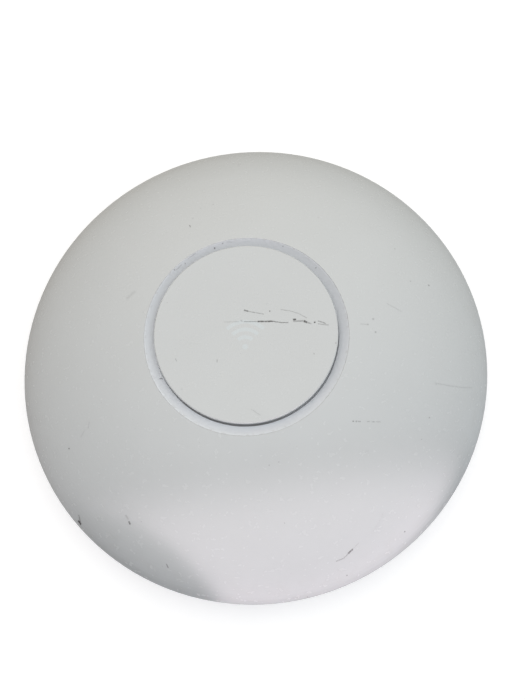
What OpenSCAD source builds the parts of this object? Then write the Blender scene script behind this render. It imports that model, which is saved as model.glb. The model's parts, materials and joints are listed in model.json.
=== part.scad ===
// Ceiling access point: a round radio unit that turns onto a flat ceiling bracket.
// Origin: centre of the bracket's ceiling face. +Z points out of the front, the cable bay is at -Y.
// The unit is locked on its bracket here. It unlocks by turning counter-clockwise about +Z.

/* [Overall] */
// Diameter over the rim
outer_d = 175.7; // [175:0.1:177]
// Height from the ceiling face to the crown of the front disc
overall_h = 43.2; // [43:0.1:44]
// Height of the widest line above the ceiling face
rim_h = 11.6; // [11.5:0.1:11.8]
// Wall thickness of the dome and the rear shell
wall = 2.2; // [2:0.1:2.3]

/* [Front] */
// Diameter of the front disc
disc_d = 60.2; // [60:0.1:60.4]
// How far the disc's top edge stands above the dome's groove edge
disc_proud = 1.6; // [1.2:0.1:2]
// Thickness of the front disc at its edge
disc_edge = 1.9; // [1.7:0.1:2]
// Diameter of the groove's outer edge
groove_d = 67.3; // [67:0.1:68]
// Depth of the groove below its outer edge
groove_depth = 2.3; // [2.2:0.1:2.4]

/* [Bracket] */
// Diameter of the mounting bracket
bracket_d = 122; // [121:0.5:122]
// Height of the bracket, from the ceiling to its upper face
bracket_h = 4; // [3.8:0.1:4]
// Thickness of the bracket's plate
bracket_plate = 2.1; // [2:0.1:2.2]
// Spacing of opposite ceiling screws, across a single gang box
screw_pcd = 83.3; // [80:0.1:84]
// Radius of a ceiling screw hole
screw_hole_r = 2.2; // [2:0.1:2.4]
// Turn that unlocks the unit from its bracket
unlock_turn = 14; // [12:1:14]

/* [Cable bay] */
// Inner width of the bay
bay_w = 28; // [27:0.5:29]
// Distance from the axis to the bay's inner wall, where the socket opens
bay_near = 36; // [35.5:0.5:36.5]
// Distance from the axis to the bay's outer end
bay_far = 70; // [68:0.5:70]
// Width of the side cable slot
slot_w = 11; // [10:0.5:12]

/* [Inside] */
// Radius of the main circuit board
board_r = 61; // [60:0.5:61]
// Height of the circuit board's underside
board_z = 20.6; // [20.5:0.1:20.8]
// Thickness of the circuit board
board_t = 1.6; // [1.4:0.1:1.6]
// Gap between circuit board and ground plate, filled by the standoffs
standoff_h = 4; // [4:0.1:4.2]
// Thickness of the aluminium ground plate
plate_t = 1.5; // [1.2:0.1:1.5]
// Number of light-emitting diodes under the light guide
led_count = 8; // [6:1:12]

/* [Hidden] */

$fn = 96;
overshoot = 1; // how far a cutting shape runs past the face it cuts

// Dome: an arc of an ellipse from the groove's edge to the round at the rim, where it meets it tangent
rim_r = outer_d / 2;
rim_round = 2;
rim_tangent = 33;
seam_z = rim_h - 0.7;
seam_gap = 0.4;
groove_r = groove_d / 2;
disc_r = disc_d / 2;
disc_crown = 0.2;
disc_top = overall_h - disc_crown;
groove_z = disc_top - disc_proud;
ellipse_a = rim_r * 1.047;
join_r = rim_r - rim_round + rim_round * cos(rim_tangent);
join_z = rim_h + rim_round * sin(rim_tangent);
ellipse_b = (groove_z - join_z) / (arc_share(groove_r) - arc_share(join_r));
ellipse_z = groove_z - ellipse_b * arc_share(groove_r);
dome_steps = 40;
inner_start_r = 36.4;

// Light guide: the ring whose cove lines the groove; a deeper gap runs from the cove in under the front disc
guide_floor_r = 28.6;
guide_gap_r = 30.6;
guide_inner_r = 26;
guide_flange_r = 35.6;
groove_floor_z = groove_z - groove_depth;
guide_gap_z = groove_floor_z - 1.2;
guide_bottom_z = groove_floor_z - 2.2;
guide_flange_t = 1;

// Rear shell
back_z = 0.9;
back_round_r = 74;
shell_centre = [back_round_r, seam_z - seam_gap];
shell_radii = [87.2 - back_round_r, shell_centre[1] - back_z];
recess_r = bracket_d / 2 + 0.6;
recess_floor_z = 4.4;
shell_floor_z = recess_floor_z + wall;
tongue_r = 83.7;
tongue_t = 1.4;
tongue_top = seam_z + 2.5;
snap_count = 6;
bay_wall = 2;
bay_top = board_z;
slot_top = 9.6;
slot_inner_y = 74.2;
boss_angles = [60, 120, 240, 300];
boss_ring_r = 56;

// Bayonet studs: three mushroom heads that hang behind the bracket's plate
stud_angles = [90, 210, 330];
stud_ring_r = 52.5;
stud_neck_r = 2;
stud_head_r = 3.9;
head_clear = 0.15;
plate_under_z = bracket_h - bracket_plate;

// Lock latch: a thin arm in the bracket's plate whose tooth sits in a notch of the recess wall
latch_pivot_a = 165;
latch_pivot_r = 57.8;
latch_barrel_r = 2.2;
latch_arm_t = 2;
latch_tip_a = 137;
latch_peak_a = 146;
latch_peak_r = recess_r + 1;
latch_heel_r = recess_r - 0.8;
latch_under_z = plate_under_z + 0.1;
latch_h = bracket_plate - 0.2;

// Socket
jack_w = 16;
jack_h = 13.5;
jack_face_y = bay_near + 0.6;
jack_depth = 21.2;
jack_z = board_z - jack_h;
sheet_t = 0.3;
port_w = 11.9;
port_h = 6.9;
port_depth = 13.5;
port_z = jack_z + 4.6;
contact_count = 8;
contact_pitch = 1.02;

// Reset switch
reset_x = 11.4;
reset_z = board_z - 3.6;
reset_stem_r = 1.3;

// Stack of boards and plates
board_top = board_z + board_t;
ground_z = board_top + standoff_h;
ground_top = ground_z + plate_t;
ground_r = 62;
shield_h = 3;
shield_top = board_top + shield_h;
processor_at = [-7, 22];
radio_at = [[-22, -4], [22, -4]];
shield_at = [0, 22];

// Antennas and their leads stand on the same radial lines
antenna_2g_angles = [90, 210, 330];
antenna_5g_angles = [0, 180];
coax_start_r = 40;
coax_hole_r = 43;
antenna_r = 48.1;
coax_d = 1.13;
coax_sides = 10;

// Light carrier
carrier_z = 31.4;
carrier_t = 2;
carrier_leg_angles = [30, 150, 270];
carrier_leg_ring_r = 27;
led_board_z = carrier_z + carrier_t;
led_board_t = 1.2;
led_ring_r = 28;
ribbon_w = 6;
ribbon_t = 0.25;

white = [0.87, 0.88, 0.88];
board_green = [0.05, 0.25, 0.16];
tin = [0.74, 0.75, 0.77];
chip_black = [0.1, 0.1, 0.11];

// ---------- Curves ----------

function arc_share(r) = sqrt(1 - pow(r / ellipse_a, 2));
function dome_z(r) = ellipse_z + ellipse_b * arc_share(r);
function dome_slope(r) = ellipse_b * r / (pow(ellipse_a, 2) * arc_share(r));
// A point of the dome's inner face, one wall behind the outer point at r
function dome_inner(r) = let (s = dome_slope(r), n = sqrt(1 + s * s))
    [r - wall * s / n, dome_z(r) - wall / n];
function polar(r, a) = [r * cos(a), r * sin(a)];
function on_arc(centre, radii, a) = [centre[0] + radii[0] * cos(a), centre[1] + radii[1] * sin(a)];
function bezier(p, t) = pow(1 - t, 3) * p[0] + 3 * t * pow(1 - t, 2) * p[1]
    + 3 * t * t * (1 - t) * p[2] + pow(t, 3) * p[3];
function across(p, i) = let (last = len(p) - 1, d = p[min(i + 1, last)] - p[max(i - 1, 0)])
    [-d[1], d[0]] / norm(d);

// Puts its children at each angle of a ring, turned to face outwards
module around(angles, radius = 0) {
    for (a = angles) rotate(a) translate([radius, 0, 0]) children();
}

module sector(inner, outer, from, to, height) {
    rotate(from) rotate_extrude(angle = to - from) translate([inner, 0]) square([outer - inner, height]);
}

// A centred box that stands on z = 0
module block(size) {
    translate([-size[0] / 2, -size[1] / 2, 0]) cube(size);
}

// A pan-head screw: head on z = 0, shank below it, and a cross recess
module pan_screw(head_r, head_h, shank_r, shank_l) {
    difference() {
        union() {
            cylinder(r1 = head_r, r2 = head_r * 0.82, h = head_h, $fn = 48);
            translate([0, 0, -shank_l]) cylinder(r = shank_r, h = shank_l, $fn = 32);
        }
        for (a = [0, 90]) rotate(a) translate([0, 0, head_h * 0.45])
            block([head_r * 1.1, head_r * 0.28, head_h]);
    }
}

// A round lead along points of the XZ plane, as one closed solid
module lead(points, d) {
    rings = len(points);
    vertices = [for (i = [0 : rings - 1], k = [0 : coax_sides - 1])
        let (n = across(points, i), a = 360 * k / coax_sides, c = cos(a) * d / 2)
            [points[i][0] + c * n[0], sin(a) * d / 2, points[i][1] + c * n[1]]];
    walls = [for (i = [0 : rings - 2], k = [0 : coax_sides - 1]) let (j = (k + 1) % coax_sides)
        [i * coax_sides + k, i * coax_sides + j, (i + 1) * coax_sides + j, (i + 1) * coax_sides + k]];
    start = [for (k = [coax_sides - 1 : -1 : 0]) k];
    end = [for (k = [0 : coax_sides - 1]) (rings - 1) * coax_sides + k];
    polyhedron(vertices, concat([start], walls, [end]), convexity = 4);
}

// ---------- Bracket ----------

module keyhole_slot() {
    rotate(unlock_turn) translate([stud_ring_r, 0, -overshoot])
        cylinder(r = stud_head_r + 0.4, h = bracket_h + 2 * overshoot);
    translate([0, 0, -overshoot])
        sector(stud_ring_r - stud_neck_r - 0.3, stud_ring_r + stud_neck_r + 0.3, 0, unlock_turn,
            bracket_h + 2 * overshoot);
    translate([stud_ring_r, 0, -overshoot])
        cylinder(r = stud_neck_r + 0.3, h = bracket_h + 2 * overshoot);
}

module screw_well() {
    translate([0, 0, -overshoot]) cylinder(r = screw_hole_r, h = bracket_h + 2 * overshoot);
    translate([0, 0, bracket_h - 2]) cylinder(r1 = screw_hole_r, r2 = 4.5, h = 2.3);
}

// Room for the latch: its socket, and the window that its arm swings in
module latch_window() {
    swing_in = 5.5;
    translate([0, 0, -overshoot]) {
        sector(latch_pivot_r - swing_in, bracket_d / 2 + overshoot, latch_tip_a - 3,
            latch_pivot_a - 1.8, bracket_h + 2 * overshoot);
        rotate(latch_pivot_a) translate([latch_pivot_r, 0, 0])
            cylinder(r = latch_barrel_r + 0.08, h = bracket_h + 2 * overshoot);
    }
}

module mounting_bracket() {
    cable_hole_r = 17;
    rim_t = 1.8;
    well_angles = [45, 135, 225, 315];
    color(white) difference() {
        union() {
            translate([0, 0, plate_under_z]) cylinder(d = bracket_d, h = bracket_plate);
            difference() {
                cylinder(d = bracket_d, h = bracket_h);
                translate([0, 0, -overshoot]) cylinder(d = bracket_d - 2 * rim_t, h = bracket_h);
            }
            around(well_angles, screw_pcd / 2) cylinder(r = 5.2, h = bracket_h);
            // collar round the cable hole
            cylinder(r = cable_hole_r + 1.8, h = bracket_h);
            // socket wall round the latch's barrel
            rotate(latch_pivot_a) translate([latch_pivot_r - 1.6, 0, 0]) cylinder(r = 4.6, h = bracket_h);
        }
        translate([0, 0, -overshoot]) {
            cylinder(r = cable_hole_r, h = bracket_h + 2 * overshoot);
            translate([-bay_w / 2 - 3, -bracket_d, 0]) cube([bay_w + 6, bracket_d - 14, bracket_h * 2]);
            difference() {
                cylinder(d = bracket_d + 20, h = bracket_h * 2);
                cylinder(d = bracket_d, h = bracket_h * 2);
            }
        }
        for (a = stud_angles) rotate(a) keyhole_slot();
        around(well_angles, screw_pcd / 2) screw_well();
        latch_window();
        // slots that save material between the screw wells
        for (a = [0, 90, 180]) translate([0, 0, -overshoot])
            sector(30, 36, a - 17, a + 17, bracket_h + 2 * overshoot);
    }
}

// The tooth is a long ramp on the side that the notch pushes first, and steep on the other
module lock_latch() {
    tooth = [
        polar(latch_heel_r, latch_tip_a),
        polar((latch_heel_r + latch_peak_r) / 2, (latch_tip_a + latch_peak_a) / 2),
        polar(latch_peak_r, latch_peak_a),
        polar(latch_pivot_r, latch_peak_a + 0.6),
        polar(latch_pivot_r, latch_tip_a)];
    color(white) translate([0, 0, latch_under_z]) {
        sector(latch_pivot_r - latch_arm_t / 2, latch_pivot_r + latch_arm_t / 2, latch_tip_a + 1,
            latch_pivot_a, latch_h);
        rotate(latch_pivot_a) translate([latch_pivot_r, 0, 0]) cylinder(r = latch_barrel_r, h = latch_h);
        linear_extrude(latch_h) polygon(tooth);
    }
}

// ---------- Rear shell ----------

function shell_arc(radii) = [for (a = [0 : 9 : 90]) on_arc(shell_centre, radii, -a)];

module shell_section() {
    inner_radii = shell_radii - [wall, wall];
    tongue_in = tongue_r - tongue_t;
    arc_end = acos((tongue_in - shell_centre[0]) / inner_radii[0]);
    polygon(concat(
        shell_arc(shell_radii),
        [[recess_r, back_z], [recess_r, recess_floor_z], [0, recess_floor_z], [0, shell_floor_z],
            [recess_r + wall, shell_floor_z], [recess_r + wall, back_z + wall]],
        [for (i = [0 : 6]) on_arc(shell_centre, inner_radii, -90 + i * (90 - arc_end) / 6)],
        [[tongue_in, tongue_top], [tongue_r, tongue_top], [tongue_r, shell_centre[1]]]));
}

// Everything inside the shell's outer face
module shell_envelope() {
    rotate_extrude($fn = 180) polygon(concat(shell_arc(shell_radii), [[0, back_z], [0, shell_centre[1] + 3],
        [tongue_r, shell_centre[1] + 3], [tongue_r, shell_centre[1]]]));
}

module stud() {
    head_top = plate_under_z - head_clear;
    translate([0, 0, back_z]) cylinder(r = stud_head_r, h = head_top - back_z);
    translate([0, 0, head_top - 0.1]) cylinder(r = stud_neck_r, h = recess_floor_z - head_top + 0.6);
}

module boss() {
    difference() {
        translate([0, 0, shell_floor_z - 0.5]) cylinder(r = 3.6, h = board_z - shell_floor_z + 0.5);
        translate([0, 0, shell_floor_z + 4]) cylinder(r = 1.5, h = board_z);
    }
}

// The notch that the latch's tooth drops into, a little larger than the tooth
module latch_notch() {
    play = 0.3;
    reach = latch_peak_r + play;
    translate([0, 0, -overshoot]) linear_extrude(recess_floor_z + overshoot) polygon([
        polar(recess_r - overshoot, latch_tip_a - 1),
        polar(latch_heel_r + 1, latch_tip_a - 1),
        polar(reach, latch_peak_a - 1),
        polar(reach, latch_peak_a + 1),
        polar(recess_r - overshoot, latch_peak_a + 1)]);
}

module cable_slot(width, top) {
    translate([-width / 2, -rim_r - overshoot, -overshoot])
        cube([width, rim_r + overshoot - bay_far + overshoot, top + overshoot]);
}

module rear_shell() {
    hood_t = 1.6;
    color(white) {
        difference() {
            union() {
                rotate_extrude($fn = 180) shell_section();
                translate([-bay_w / 2 - bay_wall, -bay_far - bay_wall, 2])
                    cube([bay_w + 2 * bay_wall, bay_far + 2 * bay_wall - bay_near, board_top - 2]);
                // hood over the side cable slot
                intersection() {
                    translate([-slot_w / 2 - hood_t, -tongue_r - 2, 0])
                        cube([slot_w + 2 * hood_t, tongue_r - bay_far, slot_top + hood_t]);
                    shell_envelope();
                }
                around(boss_angles, boss_ring_r) boss();
                // ribs that tie the bosses to the shell's wall
                around(boss_angles, boss_ring_r + 3)
                    translate([0, -0.6, shell_floor_z - 0.5]) cube([6, 1.2, 4]);
            }
            translate([0, 0, -overshoot]) cylinder(r = recess_r, h = recess_floor_z + overshoot);
            translate([-bay_w / 2, -bay_far, -overshoot])
                cube([bay_w, bay_far - bay_near, bay_top + overshoot]);
            // window for the socket
            translate([-jack_w / 2 - 0.2, -bay_near - overshoot, jack_z - 0.2])
                cube([jack_w + 0.4, bay_wall + 2 * overshoot, jack_h + 0.4]);
            // hole for the reset button
            translate([reset_x, -bay_near + bay_wall + overshoot, reset_z]) rotate([90, 0, 0])
                cylinder(r = reset_stem_r + 0.15, h = bay_wall + 2 * overshoot, $fn = 48);
            cable_slot(slot_w, slot_top);
            latch_notch();
            // windows for the dome's snaps
            around([for (i = [0 : snap_count - 1]) 30 + i * 360 / snap_count], tongue_r - tongue_t - 1)
                translate([0, -5.2, seam_z + 0.4]) cube([tongue_t + 1.4, 10.4, 1.4]);
        }
        around(stud_angles, stud_ring_r) stud();
    }
}

// Snap-in piece that closes the side cable slot: the shell's own section, as wide as the slot
module cable_slot_cover() {
    play = 0.3;
    color(white) intersection() {
        rotate_extrude($fn = 180) shell_section();
        translate([-slot_w / 2 + play, -rim_r - overshoot, 0])
            cube([slot_w - 2 * play, rim_r + overshoot - slot_inner_y, slot_top - play]);
    }
}

module rating_label() {
    color([0.93, 0.93, 0.91]) translate([0, 0, recess_floor_z - 0.1]) block([22, 16, 0.1]);
}

// ---------- Socket and reset switch ----------

module jack_shield() {
    color(tin) difference() {
        translate([-jack_w / 2, -jack_face_y, jack_z]) cube([jack_w, jack_depth, jack_h]);
        translate([-jack_w / 2 + sheet_t, -jack_face_y - overshoot, jack_z + sheet_t])
            cube([jack_w - 2 * sheet_t, jack_depth + overshoot - sheet_t, jack_h - 2 * sheet_t]);
        // spring tongues pressed out of the sides
        for (x = [-1, 1]) translate([x * jack_w / 2, -jack_face_y + 6, jack_z + jack_h / 2])
            cube([1.4, 5, 3], center = true);
    }
}

module port_opening() {
    latch_w = 6.2;
    key_w = 3.4;
    translate([0, -jack_face_y - overshoot, 0]) {
        translate([-port_w / 2, 0, port_z]) cube([port_w, port_depth + overshoot, port_h]);
        translate([-latch_w / 2, 0, port_z - 1.5]) cube([latch_w, port_depth + overshoot, 2]);
        translate([-key_w / 2, 0, port_z - 2.7]) cube([key_w, port_depth + overshoot, 2]);
    }
}

module jack_housing() {
    color(chip_black) difference() {
        translate([-jack_w / 2 + sheet_t, -jack_face_y + 0.4, jack_z + sheet_t])
            cube([jack_w - 2 * sheet_t, jack_depth - 0.4 - sheet_t, jack_h - 2 * sheet_t]);
        port_opening();
    }
}

// Each contact has a foot against the roof of the port and a spring that leans down and inwards
module jack_contacts() {
    contact_w = 0.44;
    contact_t = 0.35;
    foot = 2.4;
    reach = [7.6, -2.9];
    color([0.85, 0.68, 0.28]) for (i = [0 : contact_count - 1])
        translate([(i - (contact_count - 1) / 2) * contact_pitch - contact_w / 2, 3 - jack_face_y,
            port_z + port_h]) rotate([90, 0, 90]) linear_extrude(contact_w)
                polygon([[0, 0], [foot, 0], [foot, 0] + reach, [foot, -contact_t] + reach,
                    [foot - 0.15, -contact_t], [0, -contact_t]]);
}

module reset_switch() {
    body = [6, 3.4, 6.4];
    face_y = bay_near - bay_wall - 0.2;
    color([0.16, 0.16, 0.17]) difference() {
        translate([reset_x - body[0] / 2 + 0.3, -face_y, board_z - body[2]]) cube(body);
        translate([reset_x, -face_y - overshoot, reset_z]) rotate([-90, 0, 0])
            cylinder(r = reset_stem_r + 0.1, h = 2.6 + overshoot, $fn = 48);
    }
}

module reset_button() {
    out = 0.7;
    color([0.8, 0.8, 0.8]) translate([reset_x, -bay_near - out, reset_z]) rotate([-90, 0, 0])
        cylinder(r = reset_stem_r, h = 4.2, $fn = 48);
}

// ---------- Main board ----------

module main_board() {
    edge_gap = 0.4;
    color(board_green) difference() {
        translate([0, 0, board_z]) cylinder(r = board_r, h = board_t, $fn = 180);
        translate([-bay_w / 2 - bay_wall - edge_gap, -board_r - overshoot, board_z - overshoot])
            cube([bay_w + 2 * (bay_wall + edge_gap), board_r + overshoot - bay_near + bay_wall + edge_gap,
                board_t + 2 * overshoot]);
        around(boss_angles, boss_ring_r) translate([0, 0, board_z - overshoot])
            cylinder(r = 1.6, h = board_t + 2 * overshoot, $fn = 48);
    }
}

// Parts under the board hang from its underside
module lan_transformer() {
    height = 6;
    color(chip_black) translate([0, -3, board_z - height]) block([16, 13, height]);
}

module bulk_capacitors() {
    height = 9;
    color([0.55, 0.56, 0.58]) for (p = [[-22, -22], [-31, -14], [-22, -6]])
        translate([p[0], p[1], board_z - height]) cylinder(r = 4, h = height, $fn = 64);
}

module power_inductors() {
    height = 4.5;
    color([0.22, 0.22, 0.23]) for (p = [[22, -8], [33, -14]])
        translate([p[0], p[1], board_z - height]) block([8, 8, height]);
}

module processor() {
    color(chip_black) translate([processor_at[0], processor_at[1], board_top]) block([17, 17, 1.4]);
}

module memory_chips() {
    color(chip_black) for (y = [16, 28]) translate([11, y, board_top]) block([10, 8, 1.1]);
}

module radio_chips() {
    color(chip_black) for (p = radio_at) translate([p[0], p[1], board_top]) block([9, 9, 0.9]);
}

// A tinned can: an open-bottomed box with a raised frame line round its lid
module shield_can(size) {
    lid_inset = 1.2;
    color(tin) difference() {
        union() {
            block([size[0], size[1], shield_h - 0.3]);
            translate([0, 0, shield_h - 0.4]) block([size[0] - lid_inset, size[1] - lid_inset, 0.4]);
        }
        translate([0, 0, -overshoot])
            block([size[0] - 2 * sheet_t, size[1] - 2 * sheet_t, shield_h - 0.6 + overshoot]);
        // vent holes in rows
        for (x = [-1, 0, 1], y = [-1, 1]) translate([x * size[0] / 4, y * size[1] * 0.4, 0])
            cylinder(r = 0.7, h = shield_h + overshoot, $fn = 24);
    }
}

module shield_processor() {
    translate([shield_at[0], shield_at[1], board_top]) shield_can([38, 24]);
}

module shield_radio_2g() {
    translate([radio_at[0][0], radio_at[0][1], board_top]) shield_can([24, 20]);
}

module shield_radio_5g() {
    translate([radio_at[1][0], radio_at[1][1], board_top]) shield_can([24, 20]);
}

module thermal_pads() {
    pad_t = ground_z - shield_top;
    color([0.45, 0.52, 0.6]) translate([0, 0, shield_top]) {
        translate(processor_at) block([15, 15, pad_t]);
        for (p = radio_at) translate(p) block([12, 12, pad_t]);
    }
}

module coax_connectors() {
    color([0.83, 0.7, 0.35]) around(concat(antenna_2g_angles, antenna_5g_angles), coax_start_r)
        translate([0, 0, board_top]) {
            block([2.6, 2.6, 0.4]);
            cylinder(r = 1, h = 0.8, $fn = 48);
        }
}

module ribbon_connector() {
    color([0.85, 0.82, 0.72]) difference() {
        translate([0, -6, board_top]) block([8.4, 3.6, 2]);
        translate([0, -8, board_top + 0.8]) block([ribbon_w + 0.4, 3.2, 0.5]);
    }
}

module board_standoffs() {
    color([0.8, 0.66, 0.35]) around(boss_angles, boss_ring_r) difference() {
        union() {
            translate([0, 0, board_top]) cylinder(r = 2.9, h = standoff_h, $fn = 6);
            translate([0, 0, board_top - 8]) cylinder(r = 1.42, h = 8.2, $fn = 32);
        }
        translate([0, 0, board_top + 0.6]) cylinder(r = 1.35, h = standoff_h, $fn = 32);
    }
}

// ---------- Ground plate and antennas ----------

module ground_plate() {
    color([0.78, 0.79, 0.8]) difference() {
        union() {
            translate([0, 0, ground_z]) cylinder(r = ground_r, h = plate_t, $fn = 180);
            // raised bead that stiffens the plate's edge
            translate([0, 0, ground_top - 0.2]) difference() {
                cylinder(r = ground_r - 1, h = 0.8, $fn = 180);
                translate([0, 0, -overshoot])
                    cylinder(r = ground_r - 2.6, h = 0.8 + 2 * overshoot, $fn = 180);
            }
        }
        translate([0, 0, ground_z - overshoot]) {
            around(boss_angles, boss_ring_r) cylinder(r = 1.6, h = plate_t + 2 * overshoot, $fn = 48);
            around(carrier_leg_angles, carrier_leg_ring_r)
                cylinder(r = 1.3, h = plate_t + 2 * overshoot, $fn = 48);
            around(concat(antenna_2g_angles, antenna_5g_angles), coax_hole_r)
                cylinder(r = 2.2, h = plate_t + 2 * overshoot, $fn = 48);
            // slot for the ribbon
            translate([0, -12.5, 0]) block([ribbon_w + 3, 7, plate_t + 2 * overshoot]);
        }
    }
}

module plate_screws() {
    color(tin) around(boss_angles, boss_ring_r) translate([0, 0, ground_top]) pan_screw(2.7, 1.7, 1.25, 4.6);
}

// An inverted-F radiator stamped from sheet: a grounded foot, a feed leg and a slotted top
module antenna(length, width, height, slot_share) {
    sheet = 0.5;
    foot = 5;
    color([0.82, 0.72, 0.42]) difference() {
        union() {
            translate([-foot, -width / 2, 0]) cube([foot, 7, sheet]);
            translate([-sheet, -width / 2, 0]) cube([sheet, 3.4, height]);
            translate([-sheet, -0.9, 1.6]) cube([sheet, 1.8, height - 1.6]);
            translate([-sheet, -width / 2, height - sheet]) cube([length, width, sheet]);
            translate([length - 2 * sheet, -width / 2 + 2, height - 2.4]) cube([sheet, width - 4, 2.4]);
        }
        // slot that folds the radiator into two bands
        translate([length * 0.36, -width / 2 - overshoot, height - 2 * sheet])
            cube([1.3, width * slot_share + overshoot, 3 * sheet]);
        translate([-foot / 2 - 0.4, -width / 2 + 3.5, -overshoot]) cylinder(r = 0.9, h = 3, $fn = 32);
    }
}

module antenna_2g(i) {
    rotate(antenna_2g_angles[i]) translate([antenna_r, 0, ground_top])
        mirror([1, 0, 0]) antenna(11, 22, 5.4, 0.72);
}

module antenna_5g(i) {
    rotate(antenna_5g_angles[i]) translate([antenna_r, 0, ground_top])
        mirror([1, 0, 0]) antenna(7.5, 13, 4.2, 0.6);
}

// The lead leaves its connector, rises through the plate and ends at the antenna's feed leg
module coax(angle) {
    from = [coax_start_r + 0.03, board_top + 1.4];
    rise = [coax_hole_r, ground_z + plate_t / 2];
    to = [antenna_r - 0.02, ground_top + 2.2];
    first = [from, from + [2.4, 0], rise - [0, 2.4], rise];
    second = [rise, rise + [0, 1.5], to - [2, 0], to];
    path = concat([for (t = [0 : 0.1 : 1]) bezier(first, t)], [for (t = [0.1 : 0.1 : 1]) bezier(second, t)]);
    rotate(angle) {
        color([0.9, 0.9, 0.88]) lead(path, coax_d);
        // crimped plug that snaps onto the board's connector
        color([0.83, 0.7, 0.35]) translate([coax_start_r, 0, board_top + 0.8]) difference() {
            cylinder(r = 1.35, h = 1.1, $fn = 48);
            translate([0, -0.7, -overshoot]) cube([2, 1.4, 2 * overshoot + 2]);
        }
    }
}

// ---------- Light ----------

module led_carrier() {
    color(white) difference() {
        union() {
            translate([0, 0, carrier_z]) cylinder(r = 32.5, h = carrier_t);
            around(carrier_leg_angles, carrier_leg_ring_r)
                translate([0, 0, ground_top]) cylinder(r = 3, h = carrier_z - ground_top + 0.5, $fn = 48);
        }
        translate([0, 0, carrier_z - overshoot]) cylinder(r = 20, h = carrier_t + 2 * overshoot);
        around(carrier_leg_angles, carrier_leg_ring_r) translate([0, 0, ground_top - overshoot])
            cylinder(r = 1.1, h = 4, $fn = 48);
    }
}

module led_screws() {
    color(tin) around(carrier_leg_angles, carrier_leg_ring_r) translate([0, 0, ground_z]) rotate([180, 0, 0])
        pan_screw(2.3, 1.1, 1, 4);
}

// A ring with a tab on its inner edge, where the ribbon leaves it
module led_board() {
    hole_r = 21;
    tab_w = 9;
    tab_from_y = -22;
    tab_to_y = -13;
    color([0.9, 0.91, 0.9]) difference() {
        translate([0, 0, led_board_z]) cylinder(r = 31, h = led_board_t);
        translate([0, 0, led_board_z - overshoot]) difference() {
            cylinder(r = hole_r, h = led_board_t + 2 * overshoot);
            translate([-tab_w / 2, tab_from_y, 0])
                cube([tab_w, tab_to_y - tab_from_y, led_board_t + 2 * overshoot]);
        }
    }
}

module leds() {
    package = [2.8, 3.5, 0.7];
    around([for (i = [0 : led_count - 1]) (i + 0.5) * 360 / led_count], led_ring_r)
        translate([0, 0, led_board_z + led_board_t]) color([0.96, 0.95, 0.82]) block(package);
}

// Flat cable from the light board's tab down through the ground plate
module led_ribbon() {
    start = [-17.5, led_board_z - ribbon_t / 2];
    drop = [-13, ground_top + 1.5];
    end = [-6.45, board_top + 1.05];
    upper = [start, start + [3.5, 0], drop + [0, 3], drop];
    lower = [drop, drop - [0, 4], end - [4, 0], end];
    path = concat([for (t = [0 : 0.1 : 1]) bezier(upper, t)], [for (t = [0.1 : 0.1 : 1]) bezier(lower, t)]);
    last = len(path) - 1;
    side = [for (i = [0 : last]) path[i] + across(path, i) * ribbon_t / 2];
    other = [for (i = [last : -1 : 0]) path[i] - across(path, i) * ribbon_t / 2];
    color([0.93, 0.93, 0.9]) translate([ribbon_w / 2, 0, 0]) rotate([90, 0, -90]) mirror([1, 0, 0])
        linear_extrude(ribbon_w) polygon(concat(side, other));
}

module light_guide() {
    cove_w = groove_r - guide_floor_r;
    seam = 0.04;
    gap_share = (guide_gap_r - guide_floor_r) / cove_w;
    cove = [for (t = [gap_share : (1 - gap_share) / 8 : 0.95])
        [guide_floor_r + t * cove_w, groove_floor_z + groove_depth * pow(t, 1.9) * (1.35 - 0.35 * t)]];
    color([0.85, 0.89, 0.93, 0.8]) rotate_extrude($fn = 180) polygon(concat(
        [[guide_inner_r, guide_bottom_z], [guide_flange_r, guide_bottom_z],
            [guide_flange_r, guide_bottom_z + guide_flange_t],
            [groove_r - seam, guide_bottom_z + guide_flange_t],
            [groove_r - seam, groove_z - 0.12]],
        [for (k = [len(cove) - 1 : -1 : 0]) cove[k]],
        [[guide_gap_r, guide_gap_z], [guide_inner_r, guide_gap_z]]));
}

module front_disc() {
    round_r = 0.5;
    under_z = disc_top - disc_edge;
    spigot_r = guide_inner_r - 0.15;
    crown = [for (s = [0 : 0.125 : 1]) [(disc_r - round_r) * s, overall_h - disc_crown * s * s]];
    edge = [for (a = [75 : -15 : 0]) on_arc([disc_r - round_r, disc_top - round_r], [1, 1] * round_r, a)];
    color(white) {
        rotate_extrude($fn = 180) polygon(concat(crown, edge, [
            [disc_r, under_z + 0.2], [disc_r - 0.2, under_z], [spigot_r, under_z],
            [spigot_r, guide_bottom_z + 0.2], [spigot_r - 1.6, guide_bottom_z + 0.2],
            [spigot_r - 1.6, under_z], [0, under_z]]));
        // feet that stand on the light guide, between the barbs
        around([60, 180, 300]) translate([spigot_r - 0.5, -2.5, guide_gap_z + 0.05])
            cube([2, 5, under_z - guide_gap_z + 0.1]);
        // barbs that catch under the light guide
        around([0, 120, 240]) translate([spigot_r - 1.6, -2.5, guide_bottom_z - 0.7]) cube([2.3, 5, 0.7]);
        around([0, 120, 240]) translate([spigot_r - 1.6, -2.5, guide_bottom_z - 0.1]) cube([1.6, 5, 0.5]);
    }
}

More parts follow.
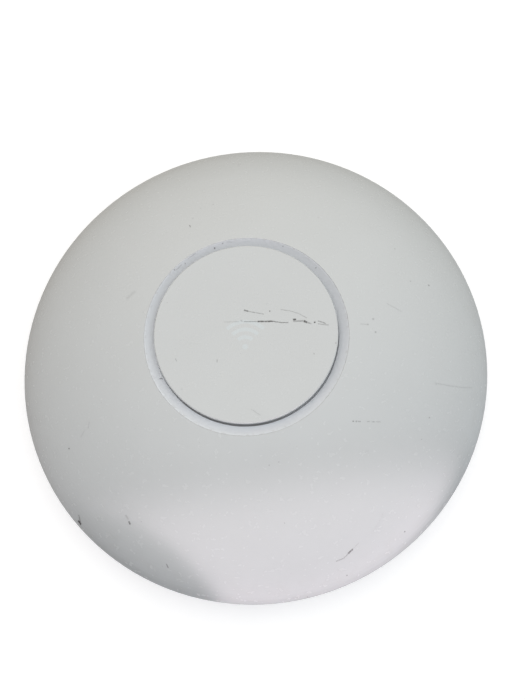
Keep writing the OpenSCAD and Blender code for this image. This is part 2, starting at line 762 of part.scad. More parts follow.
module dome_section() {
    edge_round = 0.35;
    outer_start_r = groove_r + edge_round;
    outer = [for (i = [0 : dome_steps]) let (r = outer_start_r + (join_r - outer_start_r) * i / dome_steps)
        [r, dome_z(r)]];
    low = asin((rim_h - seam_z) / rim_round);
    rim = [for (a = [rim_tangent - 9 : -8 : -low]) on_arc([rim_r - rim_round, rim_h], [1, 1] * rim_round, a)];
    inner = [for (i = [dome_steps : -1 : 0])
        dome_inner(inner_start_r + (join_r - inner_start_r) * i / dome_steps)];
    lip_z = guide_bottom_z + guide_flange_t;
    polygon(concat(
        [[groove_r, groove_z - 0.14], [groove_r + edge_round * 0.35, groove_z - 0.03]], outer, rim,
        [[rim[len(rim) - 1][0], seam_z], [inner[0][0], seam_z]], inner,
        [[inner_start_r - wall * 0.3, lip_z], [groove_r, lip_z]]));
}

module dome_cover() {
    color(white) {
        rotate_extrude($fn = 180) dome_section();
        // snaps that click into the rear shell's tongue
        around([for (i = [0 : snap_count - 1]) 30 + i * 360 / snap_count], tongue_r - 0.9)
            translate([0, -4.6, seam_z + 0.8]) cube([2.6, 9.2, 1]);
    }
}

mounting_bracket();
lock_latch();
rear_shell();
cable_slot_cover();
rating_label();
jack_shield();
jack_housing();
jack_contacts();
reset_switch();
reset_button();
main_board();
lan_transformer();
bulk_capacitors();
power_inductors();
processor();
memory_chips();
radio_chips();
shield_processor();
shield_radio_2g();
shield_radio_5g();
coax_connectors();
ribbon_connector();
thermal_pads();
board_standoffs();
ground_plate();
plate_screws();
antenna_2g(0);  // antenna_2g_1
antenna_2g(1);  // antenna_2g_2
antenna_2g(2);  // antenna_2g_3
antenna_5g(0);  // antenna_5g_1
antenna_5g(1);  // antenna_5g_2
coax(antenna_2g_angles[0]);  // coax_2g_1
coax(antenna_2g_angles[1]);  // coax_2g_2
coax(antenna_2g_angles[2]);  // coax_2g_3
coax(antenna_5g_angles[0]);  // coax_5g_1
coax(antenna_5g_angles[1]);  // coax_5g_2
led_carrier();
led_screws();
led_board();
leds();
led_ribbon();
light_guide();
front_disc();
dome_cover();
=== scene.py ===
import json
import math

import bpy
from mathutils import Matrix, Vector

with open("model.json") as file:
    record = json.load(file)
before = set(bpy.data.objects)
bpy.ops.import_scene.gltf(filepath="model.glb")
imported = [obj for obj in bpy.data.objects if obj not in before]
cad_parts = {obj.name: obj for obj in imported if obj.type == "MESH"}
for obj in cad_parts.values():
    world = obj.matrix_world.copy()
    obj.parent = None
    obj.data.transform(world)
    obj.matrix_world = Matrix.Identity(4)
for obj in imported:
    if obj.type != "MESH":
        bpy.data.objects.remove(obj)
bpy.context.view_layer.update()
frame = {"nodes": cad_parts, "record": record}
scene = bpy.context.scene
nodes = frame["nodes"]
mm = 0.001


# ---------- Building node graphs ----------

class Graph:
    """Short names for the nodes that the materials, the scuff group and the sky are made of."""

    def __init__(self, tree):
        self.tree = tree

    def add(self, kind):
        return self.tree.nodes.new(kind)

    def feed(self, value, socket):
        if isinstance(value, bpy.types.NodeSocket):
            self.tree.links.new(value, socket)
        else:
            socket.default_value = value

    def math(self, operation, a, b=0.0, clamp=False):
        node = self.add("ShaderNodeMath")
        node.operation = operation
        node.use_clamp = clamp
        self.feed(a, node.inputs[0])
        self.feed(b, node.inputs[1])
        return node.outputs[0]

    def vector(self, operation, a, b=(0, 0, 0), scale=1.0):
        node = self.add("ShaderNodeVectorMath")
        node.operation = operation
        self.feed(a, node.inputs[0])
        if operation == "SCALE":
            self.feed(scale, node.inputs["Scale"])
        elif operation != "LENGTH":
            self.feed(b, node.inputs[1])
        return node.outputs["Value" if operation in ("DOT_PRODUCT", "LENGTH") else "Vector"]

    def parts(self, vector):
        node = self.add("ShaderNodeSeparateXYZ")
        self.feed(vector, node.inputs[0])
        return node.outputs

    def ramp(self, value, low, high, to_low=0.0, to_high=1.0):
        """Runs smoothly from to_low at low to to_high at high."""
        node = self.add("ShaderNodeMapRange")
        node.interpolation_type = "SMOOTHSTEP"
        self.feed(value, node.inputs["Value"])
        for socket, number in zip(("From Min", "From Max", "To Min", "To Max"), (low, high, to_low, to_high)):
            node.inputs[socket].default_value = number
        return node.outputs["Result"]

    def mix(self, share, a, b):
        node = self.add("ShaderNodeMix")
        node.data_type = "RGBA"
        self.feed(share, node.inputs["Factor"])
        self.feed(a, node.inputs["A"])
        self.feed(b, node.inputs["B"])
        return node.outputs["Result"]

    def both(self, a, b):
        return self.math("MULTIPLY", a, b)

    def either(self, a, b):
        return self.math("MAXIMUM", a, b)


class Shader(Graph):
    """A Principled material worked out in the object's own space, in millimetres."""

    def __init__(self, name):
        self.name = name
        self.material = bpy.data.materials.new(name)
        self.material.use_nodes = True
        super().__init__(self.material.node_tree)
        self.tree.nodes.clear()
        self.bsdf = self.add("ShaderNodeBsdfPrincipled")
        self.feed(self.bsdf.outputs["BSDF"], self.add("ShaderNodeOutputMaterial").inputs["Surface"])
        self.place = self.vector("SCALE", self.add("ShaderNodeTexCoord").outputs["Object"], scale=1 / mm)
        self.flat = self.vector("MULTIPLY", self.place, (1, 1, 0))
        self.x, self.y, self.z = self.parts(self.place)
        self.radius = self.vector("LENGTH", self.flat)
        self.height = None

    def noise(self, per_mm, detail=4.0, place=None, colored=False):
        node = self.add("ShaderNodeTexNoise")
        self.feed(place or self.place, node.inputs["Vector"])
        node.inputs["Scale"].default_value = per_mm
        node.inputs["Detail"].default_value = detail
        return node.outputs["Color" if colored else "Fac"]

    def near(self, value, target, reach, soft):
        """1 where value is within reach of target, falling to 0 over soft."""
        away = self.math("ABSOLUTE", self.math("SUBTRACT", value, target))
        return self.ramp(away, reach + soft, reach - soft)

    def set(self, **inputs):
        for name, value in inputs.items():
            self.feed(value, self.bsdf.inputs[name.replace("_", " ").title().replace("Ior", "IOR")])

    def bump(self, height, depth_mm):
        """Adds relief depth_mm deep on top of what is there already."""
        node = self.add("ShaderNodeBump")
        node.inputs["Distance"].default_value = depth_mm * mm
        self.feed(height, node.inputs["Height"])
        if self.height is not None:
            self.feed(self.height, node.inputs["Normal"])
        self.height = node.outputs["Normal"]
        self.feed(self.height, self.bsdf.inputs["Normal"])


def rgb(r, g, b):
    return (r, g, b, 1.0)


def shade(color, factor):
    return rgb(*[min(channel * factor, 1.0) for channel in color[:3]])


# ---------- Scuffs ----------

def stroke_group():
    """The mask of one straight scuff: a soft-edged bar about its middle, set by two unit vectors."""
    tree = bpy.data.node_groups.new("stroke", "ShaderNodeTree")
    for name in ("Place", "Along", "Across"):
        tree.interface.new_socket(name, in_out="INPUT", socket_type="NodeSocketVector")
    for name in ("Middle Along", "Middle Across", "Half Length", "Half Width", "Strength"):
        tree.interface.new_socket(name, in_out="INPUT", socket_type="NodeSocketFloat")
    tree.interface.new_socket("Mask", in_out="OUTPUT", socket_type="NodeSocketFloat")
    g = Graph(tree)
    given = g.add("NodeGroupInput").outputs
    edge_soft = 0.1
    mask = given["Strength"]
    for way, half in (("Along", "Half Length"), ("Across", "Half Width")):
        place = g.vector("DOT_PRODUCT", given["Place"], given[way])
        away = g.math("ABSOLUTE", g.math("SUBTRACT", place, given["Middle " + way]))
        inside = g.math("ADD", g.math("SUBTRACT", given[half], away), edge_soft)
        mask = g.both(mask, g.math("DIVIDE", inside, 2 * edge_soft, clamp=True))
    g.feed(mask, g.add("NodeGroupOutput").inputs["Mask"])
    return tree


stroke = stroke_group()


def scratch(half_width, strength, *points):
    """One scratch through the points, as a stroke between each two of them."""
    return [(*start, *end, half_width, strength) for start, end in zip(points, points[1:])]


def specks(half_size, strength, *points):
    """Square specks at the points."""
    return [(x - half_size, y, x + half_size, y, half_size, strength) for x, y in points]


# Half width in mm, strength, and the places in mm as seen from the front
disc_scuffs = [
    # the long scratch, from its thin left end to its heavy right end
    *scratch(0.10, 0.35, (-7, 3), (-2, 3)),
    *scratch(0.25, 0.35, (-1.5, 3.5), (-1, 3)),
    *scratch(0.15, 0.55, (-0.5, 3), (4, 3)),
    *scratch(0.25, 0.90, (4, 3), (9, 3)),
    *scratch(0.15, 0.75, (9, 3), (12, 2.5), (14, 2.5)),
    *scratch(0.30, 1.00, (15.5, 3.5), (16.5, 3.5)),
    *scratch(0.25, 0.50, (15.5, 3), (19, 3)),
    *scratch(0.35, 1.00, (19, 3), (20, 2.5)),
    *scratch(0.25, 0.40, (20, 2.5), (21.5, 2)),
    *specks(0.25, 1.00, (22.5, 2.5)),
    *scratch(0.15, 0.60, (23.5, 3), (25, 2.5), (26, 2)),
    *scratch(0.20, 0.35, (23.5, 2), (27, 1.5)),
    # a fainter one above it
    *scratch(0.25, 0.75, (-0.5, 7), (1, 6.5)),
    *scratch(0.15, 0.45, (1, 6.5), (3.5, 6), (6, 5.5)),
    *specks(0.20, 0.85, (8, 6.5)),
    *scratch(0.12, 0.40, (11.5, 7), (14.5, 6.5), (17.5, 5.5), (20, 4)),
    # specks and hairlines on the rest of the disc
    *specks(0.18, 0.50, (29, -4.5), (22, -8)),
    *specks(0.15, 0.35, (7, 9), (-26, 10), (-20, -19)),
    *scratch(0.15, 0.35, (-22.5, -9), (-22, -10)),
    *scratch(0.15, 0.35, (-9, -9.5), (-9, -10.5)),
    *scratch(0.12, 0.30, (2, -25.5), (5, -27.5)),
]
dome_scuffs = [
    # above the disc
    *scratch(0.20, 0.60, (-20.5, 40.5), (-20, 39.5)),
    *specks(0.20, 0.30, (-19.5, 43.5), (-17, 48), (-12.5, 49.5), (25, 43)),
    *scratch(0.15, 0.25, (-4.5, 71), (-4, 72.5)),
    # to its left
    *scratch(0.50, 0.12, (-38, 15.5), (-41, 13)),
    *specks(0.20, 0.25, (-34.5, 7.5), (-48, -22)),
    # to its right
    *scratch(0.12, 0.30, (47, 10.5), (49, 9.5), (52, 8)),
    *specks(0.20, 0.45, (56.5, 20), (52, 32.5), (40, 2.5)),
    *specks(0.25, 0.70, (63.5, 19.5)),
    *scratch(0.15, 0.25, (37.5, 2.5), (40, 2.5)),
    *specks(0.30, 0.40, (42, 4.5), (42.5, 0)),
    *scratch(0.13, 0.27, (62.5, -15.5), (67.5, -16), (73.5, -16), (78, -15.5)),
    *specks(0.18, 0.45, (63, -16)),
    # a row of dashes to the lower right
    *specks(0.22, 0.65, (34, -29), (35, -29)),
    *scratch(0.16, 0.50, (35.5, -29), (36.5, -29)),
    *scratch(0.16, 0.40, (38.5, -29), (39.5, -29)),
    *scratch(0.16, 0.50, (40, -29), (41, -29)),
    *scratch(0.15, 0.35, (41.5, -29), (43, -29)),
    *specks(0.22, 0.45, (60, -27), (57, -34)),
    *scratch(0.30, 0.14, (37.5, -38.5), (39, -38)),
    # the bent scratch near the rim, and marks about it
    *scratch(0.20, 0.50, (28.5, -72.5), (31, -71.5), (32.5, -70)),
    *scratch(0.28, 0.85, (32.5, -70), (34, -68.5)),
    *scratch(0.15, 0.30, (34, -68.5), (36, -66.5)),
    *scratch(0.16, 0.16, (44, -57), (42, -61), (39.5, -64.5)),
    *specks(0.25, 0.85, (32.5, -77.5), (52, -63.5)),
    *specks(0.25, 0.60, (19.5, -85)),
    *specks(0.20, 0.40, (12, -60), (7.5, -42.5), (10.5, -41.5)),
    # to the lower left
    *specks(0.25, 0.85, (-61, -36.5)),
    *scratch(0.13, 0.28, (-52.5, -28), (-53, -30.5)),
    *scratch(0.13, 0.25, (-54, -30.5), (-56, -33)),
    *scratch(0.23, 0.70, (-59.5, -58.5), (-59.5, -61)),
    *scratch(0.50, 1.00, (-60.5, -60.5), (-59.5, -62)),
    *scratch(0.28, 0.30, (-40, -58), (-39, -59.5)),
    *scratch(0.32, 0.90, (-39, -60), (-38.5, -61)),
    *specks(0.18, 0.40, (-34.5, -60), (-28.5, -74.5)),
    *scratch(0.22, 0.75, (-27, -73.5), (-26.5, -75)),
    *scratch(0.18, 0.15, (-46.5, -65.5), (-43, -65.5)),
]
groove_scuffs = [
    *specks(0.25, 0.85, (-11, 30.5)),
    *scratch(0.20, 0.60, (-8.5, 32), (-8, 32)),
    *scratch(0.12, 0.35, (-7, 32.5), (-5, 32.5)),
    *scratch(0.12, 0.35, (-17.5, 28.5), (-20, 26.5)),
    *specks(0.20, 0.55, (-21, 25), (-24.5, 22.5), (12.5, 30.5), (23.5, 22.5)),
    *scratch(0.12, 0.30, (-22, 24.5), (-24, 22.5)),
    *scratch(0.20, 0.60, (-28, -15), (-27, -15)),
]


def scuff_mask(s, scuffs):
    """All the scuffs' strokes, made ragged by up to half of ragged_mm and patchy along their length."""
    ragged_mm = 0.35
    shift = s.vector("SUBTRACT", s.noise(1.1, colored=True), (0.5, 0.5, 0.5))
    place = s.vector("ADD", s.flat, s.vector("MULTIPLY", shift, (ragged_mm, ragged_mm, 0)))
    total = 0.0
    for x0, y0, x1, y1, half_width, strength in scuffs:
        line = Vector((x1 - x0, y1 - y0, 0))
        along = line.normalized()
        across = Vector((-along.y, along.x, 0))
        middle = Vector((x0 + x1, y0 + y1, 0)) / 2
        node = s.add("ShaderNodeGroup")
        node.node_tree = stroke
        s.feed(place, node.inputs["Place"])
        for name, value in (("Along", along), ("Across", across), ("Middle Along", middle.dot(along)),
                            ("Middle Across", middle.dot(across)), ("Half Length", line.length / 2),
                            ("Half Width", half_width), ("Strength", strength)):
            node.inputs[name].default_value = value
        total = s.either(total, node.outputs["Mask"])
    broken = s.ramp(s.noise(2.4), 0.32, 0.52, 0.5, 1.0)
    return s.both(total, broken)


# ---------- Plastics ----------

def signal_mark(s):
    """Three nested arcs over a dot: a generic mark for a wireless unit, fanned 45 degrees to each side."""
    foot_y = -5.4
    arcs = (3.2, 5.8, 8.4)
    half_line = 0.62
    soft = 0.1
    dot_r = 0.9
    lift = s.math("SUBTRACT", s.y, foot_y)
    away = s.vector("LENGTH", s.vector("SUBTRACT", s.flat, (0, foot_y, 0)))
    fan = s.ramp(s.math("SUBTRACT", lift, s.math("ABSOLUTE", s.x)), -soft, soft)
    mark = s.ramp(away, dot_r + soft, dot_r - soft)
    for radius in arcs:
        mark = s.either(mark, s.both(fan, s.near(away, radius, half_line, soft)))
    return mark


def white_cover(name, scuffs, dulled, marked=False):
    """Glossy white plastic that has been handled. Its gloss fades between dulled's two edge-on shares."""
    base = rgb(0.618, 0.634, 0.632)
    rim_darkening_from_r = 72
    rim_darkening_full_r = 88
    s = Shader(name)
    broad = s.ramp(s.noise(0.018, 2.0), 0.3, 0.7)
    cloud = s.ramp(s.noise(0.11, 5.0), 0.35, 0.65)
    color = s.mix(s.both(broad, 0.5), base, shade(base, 0.955))
    color = s.mix(s.both(cloud, 0.10), color, rgb(0.575, 0.585, 0.575))
    # warm, darker patches towards the rim
    rim_darkening = s.both(s.ramp(s.radius, rim_darkening_from_r, rim_darkening_full_r), s.ramp(s.noise(0.25, 6.0), 0.45, 0.7))
    color = s.mix(s.both(rim_darkening, 0.12), color, rgb(0.46, 0.44, 0.41))
    speck = s.both(s.ramp(s.noise(1.7, 2.0), 0.755, 0.775), 0.3)
    color = s.mix(speck, color, rgb(0.30, 0.29, 0.27))
    mark = signal_mark(s) if marked else 0.0
    color = s.mix(s.both(mark, 0.55), color, rgb(0.64, 0.70, 0.72))
    dirt = scuff_mask(s, scuffs)
    color = s.mix(dirt, color, rgb(0.035, 0.032, 0.032))
    gloss = s.math("ADD", s.ramp(s.noise(0.5, 3.0), 0.3, 0.7, 0.25, 0.275), s.both(dirt, 0.3))
    s.set(base_color=color, roughness=s.math("SUBTRACT", gloss, s.both(mark, 0.05)), ior=1.6)
    # fine dust dulls the gloss where the surface is seen edge on
    edge_on = s.add("ShaderNodeLayerWeight").outputs["Facing"]
    s.set(specular_ior_level=s.ramp(edge_on, *dulled, 0.5, 0.02))
    s.bump(s.noise(0.9, 3.0), 0.0012)
    return s


def moulded(name, color, roughness, grain_depth=0.012, ior=1.5):
    """Spark-eroded mould texture, a slow drift of tone, and a few pale rubs."""
    s = Shader(name)
    drift = s.ramp(s.noise(0.05, 3.0), 0.3, 0.7)
    tone = s.mix(drift, shade(color, 0.95), shade(color, 1.03))
    rub = s.ramp(s.noise(0.35, 6.0, s.vector("MULTIPLY", s.place, (1, 3, 1))), 0.66, 0.74)
    tone = s.mix(s.both(rub, 0.25), tone, shade(color, 1.25))
    spread = s.ramp(s.noise(0.8), 0.3, 0.7, roughness - 0.05, roughness + 0.05)
    s.set(base_color=tone, roughness=spread, ior=ior)
    s.bump(s.noise(3.5, 4.0), grain_depth)
    return s


def light_guide():
    """Frosted acrylic, with painted light and shade by side, painted shade in the gap under the disc, and a
    painted glow.
    """
    base = rgb(0.715, 0.738, 0.765)
    bay_way = (-0.17, -0.985, 0)
    gap_r = 30.6
    lit_until_r = 33.0
    dust_from_r = 32.6
    dust_full_r = 33.6
    s = Shader("diffuser")
    bay_side = s.math("DIVIDE", s.vector("DOT_PRODUCT", s.flat, bay_way), s.radius)
    # painted light and shade: lighter towards the bay's side, darker on the far side
    tone = s.mix(s.ramp(bay_side, -1.0, 1.0), shade(base, 0.87), shade(base, 1.05))
    cloud = s.ramp(s.noise(0.4, 5.0), 0.3, 0.7)
    color = s.mix(s.both(cloud, 0.04), tone, rgb(0.5, 0.5, 0.5))
    # painted shade in the gap under the disc's edge, deepest towards the bay's side
    in_gap = s.ramp(s.radius, gap_r + 0.02, gap_r - 0.05)
    painted_gap_shade = s.ramp(bay_side, 0.6, 0.97, 0.3, 0.75)
    color = s.mix(s.both(in_gap, painted_gap_shade), color, rgb(0.2, 0.19, 0.19))
    dust = s.both(s.ramp(s.radius, dust_from_r, dust_full_r), s.ramp(s.noise(0.8, 6.0), 0.5, 0.66))
    color = s.mix(s.both(dust, 0.35), color, rgb(0.45, 0.43, 0.42))
    scuffs = scuff_mask(s, groove_scuffs)
    color = s.mix(scuffs, color, rgb(0.05, 0.045, 0.045))
    # painted glow: the ring emits between the gap and lit_until_r, most towards the bay's side and its far
    # side, and faintly all over
    inner = s.both(s.ramp(s.radius, lit_until_r, gap_r), s.ramp(s.radius, gap_r - 0.1, gap_r))
    painted_glow = s.both(s.both(bay_side, bay_side), s.both(inner, s.ramp(bay_side, -0.5, 0.5, 0.09, 0.14)))
    s.set(base_color=color, roughness=s.ramp(s.noise(1.5), 0.3, 0.7, 0.34, 0.44), ior=1.49,
          emission_color=rgb(0.90, 0.95, 1.0), emission_strength=s.math("ADD", painted_glow, 0.01))
    s.bump(s.noise(2.5), 0.006)
    return s


def led_package():
    """A white package with a yellow phosphor window, eight of them on a ring."""
    ring_r = 28
    count = 8
    step = 2 * math.pi / count
    s = moulded("led_package", rgb(0.85, 0.84, 0.80), 0.3, 0.004)
    turn = s.math("DIVIDE", s.math("ARCTAN2", s.y, s.x), step)
    offset = s.both(s.math("SUBTRACT", s.math("FRACT", s.math("ADD", turn, count)), 0.5), step * ring_r)
    window = s.both(s.near(s.radius, ring_r, 1.0, 0.08), s.near(offset, 0, 1.3, 0.08))
    glow = s.mix(s.ramp(s.noise(2.0), 0.3, 0.7), rgb(0.85, 0.66, 0.10), rgb(0.92, 0.76, 0.22))
    s.set(base_color=s.mix(window, rgb(0.84, 0.83, 0.80), glow))
    return s


def label_film():
    """Blank film with a thin printed frame near its edge."""
    s = Shader("label_film")
    fibre = s.ramp(s.noise(1.2, 6.0, s.vector("MULTIPLY", s.place, (1, 5, 1))), 0.35, 0.65)
    paper = s.mix(fibre, rgb(0.80, 0.80, 0.77), rgb(0.87, 0.87, 0.85))
    border_x = 10
    border_y = 7
    half_line = 0.14
    past_corner = 0.2
    soft = 0.04
    across = s.near(s.math("ABSOLUTE", s.x), border_x, half_line, soft)
    side = s.both(across, s.near(s.y, 0, border_y + past_corner, soft))
    along = s.near(s.math("ABSOLUTE", s.y), border_y, half_line, soft)
    end = s.both(along, s.near(s.x, 0, border_x + past_corner, soft))
    s.set(base_color=s.mix(s.either(side, end), paper, rgb(0.10, 0.10, 0.11)),
          roughness=s.ramp(fibre, 0.0, 1.0, 0.30, 0.42))
    s.bump(fibre, 0.004)
    return s


def thermal_pad():
    s = Shader("thermal_pad")
    filler = s.ramp(s.noise(4.0, 2.0), 0.58, 0.66)
    tone = s.mix(s.ramp(s.noise(0.3), 0.3, 0.7), rgb(0.27, 0.34, 0.44), rgb(0.33, 0.40, 0.50))
    s.set(base_color=s.mix(filler, tone, rgb(0.55, 0.60, 0.66)), roughness=0.75)
    s.bump(s.noise(1.8, 5.0), 0.04)
    return s


def antenna_lead():
    """Pale sheath, with the gilt crimped plug where the lead meets the board."""
    plug_top = 24.3
    plug_r = 40
    s = moulded("lead_sheath", rgb(0.78, 0.78, 0.76), 0.35, 0.006)
    plug = s.both(s.ramp(s.z, plug_top + 0.05, plug_top - 0.05), s.near(s.radius, plug_r, 1.5, 0.1))
    s.set(base_color=s.mix(plug, rgb(0.78, 0.78, 0.76), rgb(0.80, 0.62, 0.28)), metallic=plug)
    return s


# ---------- Boards ----------

def board(name, mask_color, track_color):
    """Solder mask over tracks that run square to each other, with plated vias."""
    s = Shader(name)
    brick = s.add("ShaderNodeTexBrick")
    s.feed(s.place, brick.inputs["Vector"])
    for socket, value in (("Scale", 1.0), ("Mortar Size", 0.09), ("Brick Width", 5.0), ("Row Height", 0.85)):
        brick.inputs[socket].default_value = value
    tracks = s.both(brick.outputs["Fac"], s.ramp(s.noise(0.12, 2.0), 0.45, 0.5))
    cells = s.add("ShaderNodeTexVoronoi")
    s.feed(s.flat, cells.inputs["Vector"])
    cells.inputs["Scale"].default_value = 0.3
    via = s.ramp(cells.outputs["Distance"], 0.10, 0.08)
    tone = s.mix(s.ramp(s.noise(0.2), 0.3, 0.7), shade(mask_color, 0.9), shade(mask_color, 1.1))
    color = s.mix(via, s.mix(tracks, tone, track_color), rgb(0.82, 0.66, 0.33))
    s.set(base_color=color, metallic=via, roughness=s.ramp(s.noise(1.0), 0.3, 0.7, 0.28, 0.38))
    s.bump(tracks, 0.03)
    return s


# ---------- Metals ----------

def metal(name, color, roughness, grain, grain_depth=0.004, tarnish=rgb(0.20, 0.19, 0.18), tarnish_share=0.3):
    """Rolled or drawn metal: streaks along the grain, and tarnish in patches."""
    s = Shader(name)
    streaks = s.noise(0.5, 6.0, s.vector("MULTIPLY", s.place, grain))
    tone = s.mix(s.ramp(streaks, 0.3, 0.7), shade(color, 0.9), shade(color, 1.05))
    patch = s.ramp(s.noise(0.22, 7.0), 0.56, 0.72)
    color = s.mix(s.both(patch, tarnish_share), tone, tarnish)
    spread = s.ramp(streaks, 0.3, 0.7, roughness - 0.06, roughness + 0.06)
    s.set(base_color=color, metallic=1.0, roughness=s.math("ADD", spread, s.both(patch, 0.12)))
    s.bump(streaks, grain_depth)
    return s


def capacitor_can():
    """Bright can with a dark polarity segment printed on its end."""
    centres = ((-22, -22), (-31, -14), (-22, -6))
    end_z = 11.7
    printed_r = 3.75
    segment_from = 1.4
    s = metal("can_aluminium", rgb(0.72, 0.73, 0.75), 0.25, (1, 1, 9))
    segment = 0.0
    for x, y in centres:
        away = s.vector("LENGTH", s.vector("SUBTRACT", s.flat, (x, y, 0)))
        close = s.ramp(away, printed_r + 0.05, printed_r - 0.05)
        segment = s.either(s.both(close, s.ramp(s.x, x + segment_from, x + segment_from + 0.1)), segment)
    printed = s.both(segment, s.ramp(s.z, end_z + 0.1, end_z))
    s.set(base_color=s.mix(printed, rgb(0.70, 0.71, 0.73), rgb(0.03, 0.03, 0.035)),
          metallic=s.ramp(printed, 0.0, 1.0, 1.0, 0.0))
    return s


white_plastic = rgb(0.60, 0.613, 0.608)
shaders = [
    white_cover("white_cover", dome_scuffs, (0.74, 0.90)),
    moulded("shell_plastic", white_plastic, 0.42, ior=1.55),
    light_guide(),
    moulded("black_plastic", rgb(0.028, 0.028, 0.031), 0.42),
    moulded("switch_plastic", rgb(0.55, 0.55, 0.54), 0.4),
    board("circuit_board", rgb(0.018, 0.12, 0.062), rgb(0.04, 0.22, 0.11)),
    board("light_board", rgb(0.78, 0.79, 0.76), rgb(0.66, 0.66, 0.62)),
    moulded("epoxy", rgb(0.022, 0.022, 0.024), 0.55, 0.02),
    led_package(),
    moulded("ferrite", rgb(0.07, 0.07, 0.075), 0.6, 0.05),
    metal("tin_plate", rgb(0.70, 0.70, 0.71), 0.3, (1, 6, 1)),
    metal("screw_steel", rgb(0.62, 0.62, 0.63), 0.35, (1, 1, 8), tarnish=rgb(0.35, 0.30, 0.22)),
    capacitor_can(),
    metal("plate_aluminium", rgb(0.72, 0.73, 0.74), 0.38, (7, 1, 1), 0.008),
    metal("brass", rgb(0.74, 0.57, 0.28), 0.32, (5, 1, 1), tarnish=rgb(0.30, 0.20, 0.09)),
    metal("contact_gold", rgb(0.86, 0.65, 0.26), 0.22, (1, 5, 1), 0.002, tarnish_share=0.1),
    thermal_pad(),
    antenna_lead(),
    label_film(),
]
by_slot = {s.name: s.material for s in shaders}
for part in frame["record"]["subparts"]:
    slots = nodes[part["node"]].data.materials
    slots.clear()
    slots.append(by_slot[part["material_slot"]])
disc_cover = white_cover("disc_cover", disc_scuffs, (0.60, 0.76), marked=True)
nodes["front_disc"].data.materials[0] = disc_cover.material

# ---------- Camera ----------

# Above the cover and a little to its near side, about 0.2 m away
camera_place = Vector((13.07, -48.76, 206.3)) * mm
camera_back = Vector((0.044333, -0.250095, 0.967206)).normalized()
camera_right = Vector((0.998954, 0.000228, -0.04573))
camera_data = bpy.data.cameras.new("camera")
camera_data.lens = 27.07
camera_data.sensor_width = 36
camera_data.clip_start = 0.01
camera = bpy.data.objects.new("camera", camera_data)
scene.collection.objects.link(camera)
camera_up = camera_back.cross(camera_right).normalized()
camera_turn = Matrix((camera_up.cross(camera_back), camera_up, camera_back)).transposed().to_4x4()
camera.matrix_world = Matrix.Translation(camera_place) @ camera_turn
scene.camera = camera

# ---------- Floor and light ----------


def hide_from(obj, *rays):
    for ray in rays:
        setattr(obj, "visible_" + ray, False)


def glowing(obj, color, strength=1.0):
    material = bpy.data.materials.new(obj.name)
    material.use_nodes = True
    g = Graph(material.node_tree)
    g.tree.nodes.clear()
    emission = g.add("ShaderNodeEmission")
    emission.inputs["Color"].default_value = color
    emission.inputs["Strength"].default_value = strength
    g.feed(emission.outputs[0], g.add("ShaderNodeOutputMaterial").inputs["Surface"])
    obj.data.materials.append(material)
    return g, emission


bpy.ops.mesh.primitive_plane_add(size=6)
floor = bpy.context.object
floor.name = "floor"
floor_shader = Shader("floor")
paper = floor_shader.mix(floor_shader.noise(0.02), rgb(0.80, 0.80, 0.80), rgb(0.82, 0.82, 0.82))
floor_shader.set(base_color=paper, roughness=0.9, emission_color=rgb(1, 1, 1), emission_strength=0.32)
floor.data.materials.append(floor_shader.material)
hide_from(floor, "diffuse", "glossy", "shadow")

# A pale wall all round, for low cameras only
bpy.ops.mesh.primitive_cylinder_add(vertices=96, radius=2.9, depth=5, end_fill_type="NOTHING")
wall = bpy.context.object
wall.name = "wall"
glowing(wall, rgb(0.92, 0.92, 0.92))
hide_from(wall, "diffuse", "glossy", "shadow", "transmission")

# A wide softbox in front, for reflections. It is full up to 42 degrees off its axis, and all but gone at
# its edge, at 69. Its lower part is dimmed.
softbox_away = 2.0
softbox_radius = 2.6 * softbox_away
softbox_strength = 3.8
softbox_full_cos = 0.74
softbox_gone_cos = 0.34
dimmed_y = -1.9
undimmed_y = -0.2
dimmed_share = 0.2
softbox_axis = Vector((0.131, -0.991, -0.039))
bpy.ops.mesh.primitive_circle_add(vertices=96, radius=softbox_radius, fill_type="NGON")
softbox = bpy.context.object
softbox.name = "softbox"
softbox.location = softbox_axis * softbox_away
softbox.rotation_euler = (-softbox_axis).to_track_quat("Z", "Y").to_euler()
g, emission = glowing(softbox, rgb(1.0, 0.885, 0.945))
across_box = g.add("ShaderNodeTexCoord").outputs["Object"]
off_axis = g.math("DIVIDE", g.vector("LENGTH", across_box), softbox_away)
slant = g.math("SQRT", g.math("ADD", g.both(off_axis, off_axis), 1.0))
slant_cos = g.math("DIVIDE", 1.0, slant)
dimmer_below = g.ramp(g.parts(across_box)[1], dimmed_y, undimmed_y, dimmed_share, 1.0)
fading = g.ramp(slant_cos, softbox_gone_cos, softbox_full_cos, 0.0, softbox_strength)
g.feed(g.both(fading, dimmer_below), emission.inputs["Strength"])
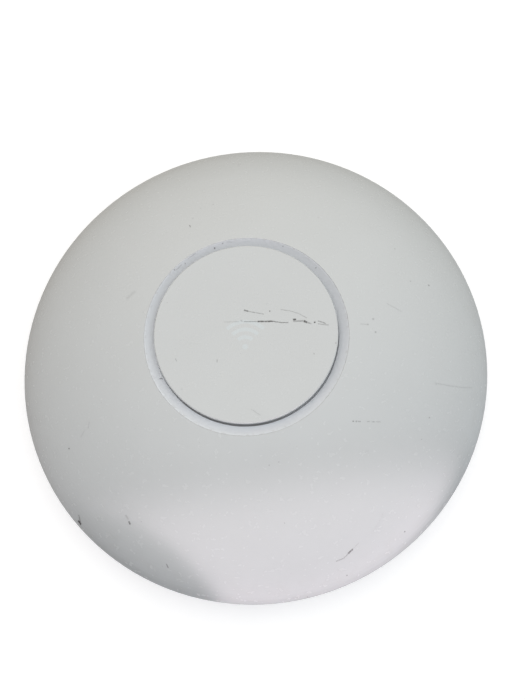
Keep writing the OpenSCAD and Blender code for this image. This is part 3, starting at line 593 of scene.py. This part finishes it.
hide_from(softbox, "camera", "diffuse", "shadow", "transmission")

# Something dark stands low at the front left and shows in the cover as a soft dark shape
card_turn = math.radians(35.5)
card_z = -0.45
card_half_width = 0.416
card_half_height = 0.765
bpy.ops.mesh.primitive_circle_add(vertices=64, radius=1, fill_type="NGON")
dark_card = bpy.context.object
dark_card.name = "dark_card"
dark_card.location = (-math.sin(card_turn), -math.cos(card_turn), card_z)
dark_card.rotation_euler = (math.pi / 2, 0, -card_turn)
dark_card.scale = (card_half_width, card_half_height, 1)
glowing(dark_card, rgb(0, 0, 0), 0.0)
hide_from(dark_card, "camera", "diffuse", "shadow", "transmission")

# Light from all round: each lobe has a direction, a strength, and a power that says how narrow it is.
# The sky is a little warmer behind and cooler at the right.
ambient = 0.25
below_horizon = 0.30
overhead = ((0.132, 0.138, 1.0), 1.21, 1.79)
from_behind = ((0.0, 0.9, 0.43), 0.32, 4.0)
from_right = ((1.0, -0.1, -0.25), 0.16, 5.0)
cooler_right = (-0.05, 0.01, 0.05)
warmer_behind = (0.04, -0.01, -0.11)
world = bpy.data.worlds.new("world")
scene.world = world
world.use_nodes = True
sky = Graph(world.node_tree)
direction = sky.add("ShaderNodeTexCoord").outputs["Generated"]
east, north, up_share = sky.parts(direction)


def lobe(way, strength, power):
    towards = sky.vector("DOT_PRODUCT", direction, Vector(way).normalized())
    return sky.both(sky.math("POWER", sky.math("MAXIMUM", towards, 0.0), power), strength)


glow = sky.math("ADD", sky.math("ADD", lobe(*overhead), lobe(*from_behind)), ambient)
above = sky.both(glow, sky.math("GREATER_THAN", up_share, 0.0))
strength = sky.math("ADD", sky.either(above, below_horizon), lobe(*from_right))
tint = sky.vector("ADD", sky.vector("SCALE", cooler_right, scale=east), (1, 1, 1))
tint = sky.vector("ADD", sky.vector("SCALE", warmer_behind, scale=north), tint)
background = world.node_tree.nodes["Background"]
sky.feed(tint, background.inputs["Color"])
sky.feed(strength, background.inputs["Strength"])

scene.view_settings.view_transform = "Standard"
scene.view_settings.look = "None"
